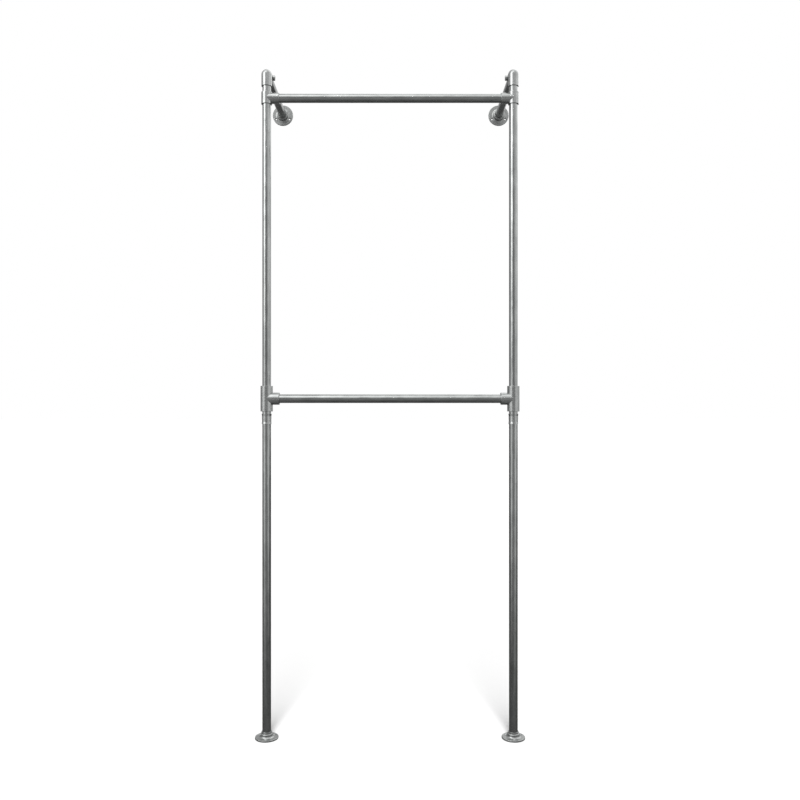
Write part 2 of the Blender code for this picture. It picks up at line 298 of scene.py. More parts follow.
@dataclass(frozen=True)
class ZincPipeFinish:
    """Hot-dip galvanised pipe: clouded zinc that ran along the pipe as it drained."""

    light: Colour = (0.328, 0.337, 0.333)
    dark: Colour = (0.260, 0.268, 0.265)
    stain: Colour = (0.104, 0.108, 0.107)
    stain_share: float = 0.5
    roughness: float = 0.12
    roughness_spread: float = 0.10
    metallic: float = 0.97
    stretch: float = 0.30
    cloud_scale: float = 55.0
    cloud_share: float = 0.65
    tone_limits: Limits = (0.36, 0.64)
    run_scale: float = 95.0
    run_detail: float = 1.0
    run_share: float = 0.55
    stain_limits: Limits = (0.56, 0.68)
    fleck_scale: float = 420.0
    fleck_height: float = 0.06
    wave_depth: float = 0.00056

    def material(self, name: str, run: Run) -> bpy.types.Material:
        """Make the finish for pipes along one direction.

        Args:
            name: The material's name.
            run: The direction of the pipes, which the runs in the zinc follow.

        Returns:
            The finished material.
        """
        material, graph = new_material(name)
        scale = tuple(self.stretch if axis == run.index else 1.0 for axis in range(3))
        along = graph.coordinates(scale)
        clouds = graph.noise(along, self.cloud_scale)
        runs = graph.noise(along, self.run_scale, self.run_detail)
        flecks = graph.grain(graph.coordinates(), self.fleck_scale)
        tone = graph.step(clouds.mixed(flecks, self.cloud_share), *self.tone_limits)
        stains = graph.step(runs.mixed(flecks, self.run_share), *self.stain_limits) * self.stain_share
        zinc = graph.blend(tone, self.dark, self.light)
        graph.surface(
            {
                "Base Color": graph.blend(stains, zinc, self.stain),
                "Metallic": self.metallic,
                "Roughness": self.roughness + clouds * self.roughness_spread,
                "Normal": graph.bump(runs + flecks * self.fleck_height, self.wave_depth),
            }
        )
        return material


@dataclass(frozen=True)
class CastZincFinish:
    """A galvanised casting: even grey, with the fine skin of the sand and painted shade darkening its
    corners.
    """

    light: Colour = (0.340, 0.349, 0.345)
    dark: Colour = (0.288, 0.296, 0.293)
    # The colour of the painted shade in the casting's corners, creases and joints.
    painted_corner_shade: Colour = (0.085, 0.088, 0.086)
    roughness: float = 0.18
    roughness_spread: float = 0.12
    metallic: float = 0.95
    cloud_scale: float = 75.0
    cloud_share: float = 0.7
    tone_limits: Limits = (0.36, 0.64)
    skin_scale: float = 420.0
    skin_depth: float = 0.00004
    corner_reach: float = 0.0030
    corner_samples: int = 6
    corner_limits: Limits = (0.20, 0.75)
    painted_corner_shade_share: float = 0.85

    def material(self, name: str) -> bpy.types.Material:
        """Make the finish of a casting.

        Args:
            name: The material's name.

        Returns:
            The finished material.
        """
        material, graph = new_material(name)
        place = graph.coordinates()
        clouds = graph.noise(place, self.cloud_scale)
        skin = graph.grain(place, self.skin_scale)
        # Painted shade: the colour darkens where ambient occlusion finds corners, creases and joints.
        settings = {"samples": self.corner_samples}
        openness = graph.node("ShaderNodeAmbientOcclusion", settings, {"Distance": self.corner_reach}, "AO")
        painted_corner_shade = (1 - graph.step(openness, *self.corner_limits)) * self.painted_corner_shade_share
        tone = graph.step(clouds.mixed(skin, self.cloud_share), *self.tone_limits)
        zinc = graph.blend(tone, self.dark, self.light)
        graph.surface(
            {
                "Base Color": graph.blend(painted_corner_shade, zinc, self.painted_corner_shade),
                "Metallic": self.metallic,
                "Roughness": self.roughness + skin * self.roughness_spread,
                "Normal": graph.bump(skin, self.skin_depth),
            }
        )
        return material


@dataclass(frozen=True)
class BlackSteelFinish:
    """Blackened steel, rubbed brighter in places."""

    dark: Colour = (0.035, 0.035, 0.036)
    bright: Colour = (0.160, 0.160, 0.160)
    roughness: float = 0.34
    roughness_spread: float = 0.1
    metallic: float = 0.95
    mark_scale: float = 1500.0
    mark_depth: float = 0.00001
    rubbed_limits: Limits = (0.48, 0.70)

    def material(self, name: str) -> bpy.types.Material:
        """Make the finish of a set screw.

        Args:
            name: The material's name.

        Returns:
            The finished material.
        """
        material, graph = new_material(name)
        marks = graph.grain(graph.coordinates(), self.mark_scale)
        rubbed = graph.step(marks, *self.rubbed_limits)
        graph.surface(
            {
                "Base Color": graph.blend(rubbed, self.dark, self.bright),
                "Metallic": self.metallic,
                "Roughness": self.roughness + marks * self.roughness_spread,
                "Normal": graph.bump(marks, self.mark_depth),
            }
        )
        return material


def new_object(name: str, data: bpy.types.Mesh | bpy.types.Light | bpy.types.Camera) -> bpy.types.Object:
    """Make an object and link it to the scene.

    Args:
        name: Its name.
        data: Its mesh, lamp or camera.

    Returns:
        The new object, at the origin.
    """
    item = bpy.data.objects.new(name, data)
    bpy.context.scene.collection.objects.link(item)
    return item


def to_mesh(shape: bmesh.types.BMesh, name: str, matrix: Matrix | None = None) -> bpy.types.Mesh:
    """Turn a shape into a mesh and free the shape.

    Args:
        shape: The shape.
        name: The mesh's name.
        matrix: Where to move the shape first.

    Returns:
        The new mesh.
    """
    if matrix is not None:
        bmesh.ops.transform(shape, matrix=matrix, verts=shape.verts[:])
    mesh = bpy.data.meshes.new(name)
    shape.to_mesh(mesh)
    shape.free()
    return mesh


def turned(
    name: str, corners: Sequence[Corner], steps: int, matrix: Matrix | None = None
) -> bpy.types.Mesh:
    """Spin an outline about Z into a closed mesh.

    Args:
        name: The mesh's name.
        corners: The outline's corners as (radius, height, rounding), in order round the section.
        steps: How many faces go round the mesh.
        matrix: Where to move the mesh.

    Returns:
        The new mesh, with its faces pointing out.
    """
    shape = bmesh.new()
    points = [shape.verts.new((radius, 0, height)) for radius, height, _ in corners]
    shape.faces.new(points)
    for rounding in sorted({corner[2] for corner in corners if corner[2] > 0}):
        chosen = [point for point, corner in zip(points, corners) if corner[2] == rounding]
        bmesh.ops.bevel(
            shape, geom=chosen, offset=rounding, offset_type="OFFSET", affect="VERTICES",
            segments=max(LEAST_ARC_STEPS, round(rounding / ARC_STEP)), profile=0.5, material=-1,
        )
    bmesh.ops.delete(shape, geom=shape.faces[:], context="FACES_ONLY")
    outline = [edge for edge in shape.edges if max(vert.co.x for vert in edge.verts) > WELD]
    bmesh.ops.spin(
        shape, geom=outline, cent=(0, 0, 0), axis=(0, 0, 1), angle=2 * math.pi, steps=steps, use_merge=True
    )
    bmesh.ops.remove_doubles(shape, verts=shape.verts[:], dist=WELD)
    loose = [edge for edge in shape.edges if not edge.link_faces]
    bmesh.ops.delete(shape, geom=loose, context="EDGES")
    bmesh.ops.recalc_face_normals(shape, faces=shape.faces[:])
    return to_mesh(shape, name, matrix)


def mirrored(upper: Iterable[Corner]) -> list[Corner]:
    """An outline whose upper half is given from the outside in, with the same below z = 0."""
    upper = list(upper)
    return [(radius, -height, rounding) for radius, height, rounding in reversed(upper)] + upper


class Joining(Enum):
    """What becomes of two closed shapes."""

    UNION = "UNION"
    CUT = "DIFFERENCE"


def joined(mesh: bpy.types.Mesh, others: Sequence[bpy.types.Mesh], joining: Joining) -> bpy.types.Mesh:
    """Join closed meshes to a closed mesh, or cut them out of it.

    Args:
        mesh: The mesh to start from.
        others: The meshes to join to it or to cut out.
        joining: Which of the two to do.

    Returns:
        The new closed mesh.
    """
    group = bpy.data.collections.new("others")
    bpy.context.scene.collection.children.link(group)
    tools = [bpy.data.objects.new("other", other) for other in others]
    for tool in tools:
        group.objects.link(tool)
    blank = new_object("blank", mesh)
    step = blank.modifiers.new("joining", "BOOLEAN")
    step.operation = joining.value
    step.solver = "EXACT"
    step.operand_type = "COLLECTION"
    step.collection = group
    graph = bpy.context.evaluated_depsgraph_get()
    finished = bpy.data.meshes.new_from_object(blank.evaluated_get(graph), depsgraph=graph)
    for item in (blank, *tools):
        bpy.data.objects.remove(item)
    bpy.data.collections.remove(group)
    return finished


@dataclass(frozen=True, kw_only=True)
class Pattern(ABC):
    """One kind of piece, made once at the origin and copied to each of its places.

    Its round sizes are radii, unless a name says diameter.
    """

    steps: int = 96

    @abstractmethod
    def mesh(self) -> bpy.types.Mesh:
        """Make the piece at the origin."""


@dataclass(frozen=True, kw_only=True)
class Pipe(Pattern):
    """A length of pipe up from the origin, with dressed ends."""

    bore: float
    outer: float
    length: float
    edge: float = 0.0006
    inner_edge: float = 0.0003

    def mesh(self) -> bpy.types.Mesh:
        """Spin the pipe's wall.

        Returns:
            The pipe's mesh.
        """
        ends = [(self.bore, 0, self.inner_edge), (self.outer, 0, self.edge)]
        ends += [(self.outer, self.length, self.edge), (self.bore, self.length, self.inner_edge)]
        return turned("pipe", ends, self.steps)


@dataclass(frozen=True, kw_only=True)
class Sleeve(Pattern):
    """A coupling sleeve centred on the origin, flared to a rim at each end."""

    bore: float
    rim: float
    length: float
    wall: float = 0.0007
    rim_height: float = 0.0066
    edge: float = 0.0004
    inner_edge: float = 0.0002

    def mesh(self) -> bpy.types.Mesh:
        """Spin the sleeve's wall.

        Returns:
            The sleeve's mesh.
        """
        body = self.bore + self.wall
        half = self.length / 2
        upper = [
            (body, half - self.rim_height, self.edge), (self.rim, half, self.edge),
            (self.bore, half, self.inner_edge),
        ]
        return turned("sleeve", mirrored(upper), self.steps)


@dataclass(frozen=True, kw_only=True)
class Flange(Pattern):
    """A cast flange on the plane z = 0: round plate, stepped hub and countersunk screw holes."""

    bore: float
    rim: float
    height: float
    steps: int = 128
    plate: float = 0.005
    rim_edge: float = 0.0012
    foot_edge: float = 0.0004
    collar_wall: float = 0.00245
    collar_edge: float = 0.0005
    mouth_edge: float = 0.00025
    hub_wall: float = 0.00525
    hub_height: float = 0.0165
    hub_shoulder: float = 0.0022
    fillet: float = 0.0055
    seat_height: float = 0.004
    seat_width: float = 0.0025
    hole_count: int = 3
    hole_from_rim: float = 0.009
    hole_diameter: float = 0.0055
    sink_diameter: float = 0.0105
    spare: float = 0.002

    def mesh(self) -> bpy.types.Mesh:
        """Spin the flange and drill it.

        Returns:
            The flange's mesh.
        """
        hub = self.bore + self.hub_wall
        collar = self.bore + self.collar_wall
        opening = self.bore - self.seat_width
        corners = [
            (opening, 0, 0), (self.rim, 0, self.foot_edge), (self.rim, self.plate, self.rim_edge),
            (hub, self.plate, self.fillet), (hub, self.hub_height, self.hub_shoulder),
            (collar, self.hub_height, self.collar_edge), (collar, self.height, self.collar_edge),
            (self.bore, self.height, self.mouth_edge), (self.bore, self.seat_height, 0),
            (opening, self.seat_height, 0),
        ]
        blank = turned("flange", corners, self.steps)
        return joined(blank, [self._hole(index) for index in range(self.hole_count)], Joining.CUT)

    def _hole(self, index: int) -> bpy.types.Mesh:
        """Make the cutter of one countersunk hole.

        Args:
            index: Which hole, 0 for the one on +Y.

        Returns:
            The cutter, in its place.
        """
        hole, sink = self.hole_diameter / 2, self.sink_diameter / 2
        top = self.plate + self.spare
        corners = [
            (0, -self.spare, 0), (hole, -self.spare, 0), (hole, self.plate - (sink - hole), 0),
            (sink, self.plate, 0), (sink, top, 0), (0, top, 0),
        ]
        turn = Matrix.Rotation(math.radians(90) + index * 2 * math.pi / self.hole_count, 4, "Z")
        matrix = turn @ Matrix.Translation((self.rim - self.hole_from_rim, 0, 0))
        return turned("hole", corners, HOLE_STEPS, matrix)


@dataclass(frozen=True, kw_only=True)
class Casting(Pattern):
    """A clamp fitting: rods that meet in crisp corners, bored for pipes and drilled for set screws."""

    bore: float
    body: float
    reach: float
    boss_reach: float
    boss: float = 0.008
    screw: float = 0.0043
    screw_from_rim: float = 0.0105
    undersize: float = 0.0001
    edge: float = 0.0008
    branch_edge: float = 0.0014
    mouth: float = 0.0005
    spare: float = 0.0020

    def rod(self, radius: float, end: float, edge: float, matrix: Matrix) -> bpy.types.Mesh:
        """A rod along Z from the origin, rounded at its end."""
        corners = [(0, 0, 0), (radius, 0, 0), (radius, end, edge), (0, end, 0)]
        return turned("rod", corners, self.steps, matrix)

    def mouth_outline(self, radius: float, end: float) -> list[Corner]:
        """The upper outline of a cutter whose bore flares at a mouth at the given height."""
        top = end + self.spare
        return [(radius, end - self.mouth, 0), (radius + self.mouth + self.spare, top, 0), (0, top, 0)]

    def socket_cutter(self, radius: float, start: float, end: float, matrix: Matrix) -> bpy.types.Mesh:
        """The cutter of a bore along Z from its seat to its mouth."""
        corners = [(0, start, 0), (radius, start, 0)] + self.mouth_outline(radius, end)
        return turned("socket", corners, self.steps, matrix)

    def cast(
        self,
        blank: bpy.types.Mesh,
        rods: Sequence[bpy.types.Mesh],
        cutters: Sequence[bpy.types.Mesh],
        seats: Sequence[Matrix],
    ) -> bpy.types.Mesh:
        """Join rods and the bosses of set screws to a blank, then bore and drill the whole.

        Args:
            blank: The closed shape to start from.
            rods: Closed shapes to join to it.
            cutters: Closed shapes to cut out.
            seats: For each set screw, the matrix that takes Z to its axis.

        Returns:
            The casting's mesh.
        """
        half_step = Matrix.Rotation(math.pi / self.steps, 4, "Z")
        bosses = [self.rod(self.boss, self.boss_reach, self.edge, seat @ half_step) for seat in seats]
        holes = [self.socket_cutter(self.screw, 0, self.boss_reach, seat @ half_step) for seat in seats]
        whole = joined(blank, [*rods, *bosses], Joining.UNION)
        return joined(whole, [*cutters, *holes], Joining.CUT)


@dataclass(frozen=True, kw_only=True)
class Tee(Casting):
    """A tee of the left side: barrel along Z, branch along +X and two screw bosses along +Y."""

    half: float
    bore_overlap: float = 0.004

    def mesh(self) -> bpy.types.Mesh:
        """Cast the tee and bore it.

        Returns:
            The tee's mesh.
        """
        ends = [(0, self.half, 0), (self.body, self.half, self.edge)]
        barrel = turned("barrel", mirrored(reversed(ends)), self.steps)
        upper = self.mouth_outline(self.bore, self.half)
        branch = Run.RIGHT.aim()
        cutters = [
            turned("through", mirrored(upper), self.steps),
            self.socket_cutter(self.bore, self.bore - self.bore_overlap, self.reach, branch),
        ]
        rods = [self.rod(self.body - self.undersize, self.reach, self.branch_edge, branch)]
        seats = [Run.BACK.aim(), Run.BACK.aim((self.reach - self.screw_from_rim, 0, 0))]
        return self.cast(barrel, rods, cutters, seats)


@dataclass(frozen=True, kw_only=True)
class Elbow(Casting):
    """An elbow of the left side: sockets along -Z and +Y, a domed corner and two screw bosses."""

    web: float = 0.00275
    passage: float = 0.008
    dome_share: float = 0.999

    def mesh(self) -> bpy.types.Mesh:
        """Cast the elbow and bore it.

        Returns:
            The elbow's mesh.
        """
        seat = self.bore + self.web
        corners = [
            (0, -self.reach, 0), (self.body, -self.reach, self.edge),
            (self.body, self.body, self.body * self.dome_share), (0, self.body, 0),
        ]
        rods = [self.rod(self.body - self.undersize, self.reach, self.edge, Run.BACK.aim())]
        cutters = [
            self.socket_cutter(self.bore, seat, self.reach, run.aim()) for run in (Run.DOWN, Run.BACK)
        ]
        from_corner = self.reach - self.screw_from_rim
        seats = [Run.RIGHT.aim((0, from_corner, 0)), Run.BACK.aim((0, 0, -from_corner))]
        return self.cast(turned("down", corners, self.steps), rods, cutters + [self._passage(seat)], seats)

    def _passage(self, seat: float) -> bpy.types.Mesh:
        """Make the cutter of the slanting passage between the two sockets.

        Args:
            seat: How far the seat of each socket is from the corner.

        Returns:
            The cutter, in its place.
        """
        start, end = -self.spare, seat * math.sqrt(2) + self.spare
        corners = [(0, start, 0), (self.passage, start, 0), (self.passage, end, 0), (0, end, 0)]
        slant = Matrix.Translation((0, 0, -seat)) @ Matrix.Rotation(math.radians(-45), 4, "X")
        return turned("passage", corners, HOLE_STEPS, slant)


@dataclass(frozen=True, kw_only=True)
class SetScrew(Pattern):
    """A cup point set screw up from the origin, with a real thread and a hexagon socket."""

    radius: float
    length: float
    pitch: float = 0.00125
    turn_steps: int = 48
    spare_turns: int = 3
    thread_depth: float = 0.0006
    crest: float = 0.16
    key_sides: int = 6
    key_width: float = 0.004
    key_depth: float = 0.0045
    cup: float = 0.00225
    cup_depth: float = 0.0012
    chamfer: float = 0.0008
    spare: float = 0.001

    def mesh(self) -> bpy.types.Mesh:
        """Roll the thread, then machine both ends."""
        cutters = [self._collar(False), self._collar(True), self._key(), self._point()]
        return joined(self._thread(), cutters, Joining.CUT)

    def _thread(self) -> bpy.types.Mesh:
        """Spin the thread's section up round Z, and close it with a flat face at each end.

        Returns:
            The threaded rod.
        """
        root = self.radius - self.thread_depth
        shape = bmesh.new()
        points = []
        for turn in range(math.ceil(self.length / self.pitch) + self.spare_turns):
            bottom = (turn - self.spare_turns / 2) * self.pitch
            points.append(shape.verts.new((root, 0, bottom)))
            for share in ((1 - self.crest) / 2, (1 + self.crest) / 2):
                points.append(shape.verts.new((self.radius, 0, bottom + self.pitch * share)))
        edges = [shape.edges.new(pair) for pair in zip(points, points[1:])]
        bmesh.ops.spin(
            shape, geom=edges, cent=(0, 0, 0), axis=(0, 0, 1), angle=2 * math.pi, steps=self.turn_steps,
            dvec=(0, 0, self.pitch / self.turn_steps), use_merge=False,
        )
        bmesh.ops.remove_doubles(shape, verts=shape.verts[:], dist=WELD)
        for height, normal in ((0, -1), (self.length, 1)):
            bmesh.ops.bisect_plane(
                shape, geom=shape.verts[:] + shape.edges[:] + shape.faces[:], dist=WELD,
                plane_co=(0, 0, height), plane_no=(0, 0, normal), clear_outer=True,
            )
        rims = [edge for edge in shape.edges if edge.is_boundary]
        bmesh.ops.holes_fill(shape, edges=rims, sides=0)
        bmesh.ops.recalc_face_normals(shape, faces=shape.faces[:])
        return to_mesh(shape, "thread")

    def _collar(self, at_end: bool) -> bpy.types.Mesh:
        """Make the ring that cuts the chamfer on one end of the thread.

        Args:
            at_end: True for the far end, False for the end at the origin.

        Returns:
            The cutter, in its place.
        """
        far = self.radius + self.spare
        corners = [
            (self.radius - self.chamfer - self.spare, -self.spare, 0), (far, -self.spare, 0),
            (far, self.chamfer + self.spare, 0),
        ]
        flip = Matrix.Translation((0, 0, self.length)) @ Matrix.Rotation(math.pi, 4, "X")
        return turned("collar", corners, self.steps, flip if at_end else None)

    def _key(self) -> bpy.types.Mesh:
        """Make the cutter of the hexagon socket.

        Returns:
            The cutter, in its place.
        """
        radius = self.key_width / 2 / math.cos(math.pi / self.key_sides)
        floor, top = self.length - self.key_depth, self.length + self.spare
        corners = [(0, floor, 0), (radius, floor, 0), (radius, top, 0), (0, top, 0)]
        return turned("key", corners, self.key_sides)

    def _point(self) -> bpy.types.Mesh:
        """Make the cutter of the cup in the point.

        Returns:
            The cutter, in its place.
        """
        flare = self.cup * (1 + self.spare / self.cup_depth)
        corners = [(0, -self.spare, 0), (flare, -self.spare, 0), (0, self.cup_depth, 0)]
        return turned("point", corners, HOLE_STEPS)


class Foundry:
    """Makes each pattern once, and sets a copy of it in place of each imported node."""

    FLANGE_ROUGHNESS = 0.30

    def __init__(self) -> None:
        """Start with no patterns, and mix the finishes."""
        pipe = ZincPipeFinish()
        self.pipe_finishes = {
            run.index: pipe.material(f"galvanised_pipe_{run.name.lower()}", run)
            for run in (Run.RIGHT, Run.BACK, Run.UP)
        }
        self.cast_finish = CastZincFinish().material("galvanised_casting")
        rough_cast = CastZincFinish(roughness=self.FLANGE_ROUGHNESS)
        self.flange_finish = rough_cast.material("rough_galvanised_casting")
        self.screw_finish = BlackSteelFinish().material("blackened_steel")
        self.patterns: dict[Pattern, bpy.types.Mesh] = {}
        self.slots = {part["node"]: part["material_slot"] for part in frame["record"]["subparts"]}

    def place(self, node: str, pattern: Pattern, matrix: Matrix, material: bpy.types.Material) -> None:
        """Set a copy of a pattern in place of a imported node, riding on the node's body.

        Args:
            node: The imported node.
            pattern: What to make for it.
            matrix: Where it goes in the rack's frame.
            material: Its finish.
        """
        if pattern not in self.patterns:
            self.patterns[pattern] = pattern.mesh()
        mesh = self.patterns[pattern].copy()
        mesh.transform(matrix)
        if matrix.is_negative:
            mesh.flip_normals()
        mesh.name = f"finished_{node}"
        mesh.materials.clear()
        mesh.materials.append(material)
        mesh.shade_smooth()
        mesh.set_sharp_from_angle(angle=math.radians(SHARP_ANGLE))
        piece = new_object(f"finished_{node}", mesh)
        piece.modifiers.new("true_shading", "WEIGHTED_NORMAL").keep_sharp = True
        body = frame["nodes"][node]["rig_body"]
        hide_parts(node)
        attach(piece, body)
        LOG.info("%s: %s of %d faces on %s", node, type(pattern).__name__, len(mesh.polygons), body)


def span(node: str, run: Run) -> tuple[float, float]:
    """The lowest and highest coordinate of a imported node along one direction."""
    low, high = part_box(node)
    return round(low[run.index], BOX_DIGITS), round(high[run.index], BOX_DIGITS)


def length_of(node: str, run: Run) -> float:
    """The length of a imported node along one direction."""
    low, high = span(node, run)
    return round(high - low, BOX_DIGITS)


def half_of(node: str, run: Run) -> float:
    """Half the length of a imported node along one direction."""
    return round(length_of(node, run) / 2, BOX_DIGITS)


def centre_of(node: str) -> Vector:
    """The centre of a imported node's box."""
    low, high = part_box(node)
    return (low + high) / 2


def start_of(node: str, run: Run) -> Vector:
    """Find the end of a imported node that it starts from.

    Args:
        node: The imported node.
        run: The direction that it runs along.

    Returns:
        The centre of that end.
    """
    low, high = span(node, run)
    point = centre_of(node)
    point[run.index] = low if sum(run.value) > 0 else high
    return point


@dataclass
class Rack:
    """The whole rack, built node by node."""

    foundry: Foundry
    pipe_wall: float = 0.0026
    clearance: float = 0.0003

    @property
    def pipe_radius(self) -> float:
        """The outer radius of the pipes."""
        return half_of("mid_rail", Run.UP)

    @property
    def bore(self) -> float:
        """The radius of the fittings' bores."""
        return round(self.pipe_radius + self.clearance, BOX_DIGITS)

    def build(self) -> None:
        """Make every piece of the rack."""
        for level in ("mid", "top"):
            self._pipe(f"{level}_rail", Run.RIGHT)
        for side in Side:
            name = side.value
            self._flange(f"floor_flange_{name}", Run.UP, Matrix.Rotation(math.radians(180), 4, "Z"))
            self._flange(f"wall_flange_{name}", Run.FRONT, Matrix.Rotation(math.radians(90), 4, "X"))
            for node, run in (("lower_upright", Run.UP), ("upper_upright", Run.UP), ("wall_arm", Run.BACK)):
                self._pipe(f"{node}_{name}", run)
            self._sleeve(f"coupling_sleeve_{name}")
            for level in ("mid", "top"):
                self._tee(f"{level}_tee_{name}", side)
                self._screw(f"{level}_tee_upright_screw_{name}", Run.BACK)
                self._screw(f"{level}_tee_rail_screw_{name}", Run.BACK)
            self._elbow(f"elbow_{name}", side)
            self._screw(f"elbow_arm_screw_{name}", side.inward)
            self._screw(f"elbow_upright_screw_{name}", Run.BACK)

    def _pipe(self, node: str, run: Run) -> None:
        """Make a pipe.

        Args:
            node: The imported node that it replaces.
            run: The direction that it runs along.
        """
        outer = self.pipe_radius
        pattern = Pipe(bore=outer - self.pipe_wall, outer=outer, length=length_of(node, run))
        finish = self.foundry.pipe_finishes[run.index]
        self.foundry.place(node, pattern, run.aim(start_of(node, run)), finish)

    def _flange(self, node: str, run: Run, turn: Matrix) -> None:
        """Make a flange.

        Args:
            node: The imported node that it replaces.
            run: The direction that its hub points in.
            turn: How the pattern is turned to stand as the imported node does.
        """
        pattern = Flange(bore=self.bore, rim=half_of(node, Run.RIGHT), height=length_of(node, run))
        matrix = Matrix.Translation(start_of(node, run)) @ turn
        self.foundry.place(node, pattern, matrix, self.foundry.flange_finish)

    def _sleeve(self, node: str) -> None:
        """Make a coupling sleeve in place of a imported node."""
        pattern = Sleeve(bore=self.bore, rim=half_of(node, Run.RIGHT), length=length_of(node, Run.UP))
        self.foundry.place(node, pattern, Matrix.Translation(centre_of(node)), self.foundry.cast_finish)

    def _tee(self, node: str, side: Side) -> None:
        """Make a tee round its upright.

        Args:
            node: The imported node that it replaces.
            side: The side that it is on.
        """
        centre = centre_of(f"upper_upright_{side.value}")
        centre.z = centre_of(node).z
        front, back = span(node, Run.BACK)
        pattern = Tee(
            bore=self.bore,
            body=round(centre.y - front, REACH_DIGITS),
            reach=self._reach(node, side, centre),
            boss_reach=round(back - centre.y, REACH_DIGITS),
            half=half_of(node, Run.UP),
        )
        self.foundry.place(node, pattern, side.facing(centre), self.foundry.cast_finish)

    def _elbow(self, node: str, side: Side) -> None:
        """Make an elbow round the corner of its upright and its arm.

        Args:
            node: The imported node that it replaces.
            side: The side that it is on.
        """
        corner = centre_of(f"upper_upright_{side.value}")
        corner.z = centre_of(f"wall_arm_{side.value}").z
        low, high = span(node, Run.UP)
        pattern = Elbow(
            bore=self.bore,
            body=round(high - corner.z, REACH_DIGITS),
            reach=round(corner.z - low, REACH_DIGITS),
            boss_reach=self._reach(node, side, corner),
        )
        self.foundry.place(node, pattern, side.facing(corner), self.foundry.cast_finish)

    def _reach(self, node: str, side: Side, centre: Vector) -> float:
        """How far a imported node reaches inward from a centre."""
        low, high = span(node, Run.RIGHT)
        return round(high - centre.x if side is Side.LEFT else centre.x - low, REACH_DIGITS)

    def _screw(self, node: str, run: Run) -> None:
        """Make a set screw.

        Args:
            node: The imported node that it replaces.
            run: The direction that its hexagon socket points in.
        """
        across = Run.RIGHT if run.index == Run.BACK.index else Run.UP
        pattern = SetScrew(radius=half_of(node, across), length=length_of(node, run))
        self.foundry.place(node, pattern, run.aim(start_of(node, run)), self.foundry.screw_finish)


@dataclass(frozen=True)
class Patch:
    """A soft-edged patch of the studio in reflections: a lamp if it adds light, a flag if it takes some.

    Its azimuth is 0 in front of the rack and 90 on its right. It has its full gain up to the inner angle
    from its middle, and none past the outer one.
    """

    azimuth: float
    elevation: float
    inner: float
    outer: float
    gain: float

    def glow(self, graph: Graph, direction: Socket) -> Socket:
        """Work out what the patch adds in a direction.

        Args:
            graph: The graph of the world or of the painted floor reflection.
            direction: The direction looked in.

        Returns:
            The light added, negative for a flag.
        """
        azimuth, elevation = math.radians(self.azimuth), math.radians(self.elevation)
        flat = math.cos(elevation)
        aim = (math.sin(azimuth) * flat, -math.cos(azimuth) * flat, math.sin(elevation))
        nearness = graph.node(
            "ShaderNodeVectorMath", {"operation": "DOT_PRODUCT"}, {0: direction, 1: aim}, "Value"
        )
        outer, inner = math.cos(math.radians(self.outer)), math.cos(math.radians(self.inner))
        return graph.step(nearness, outer, inner) * self.gain


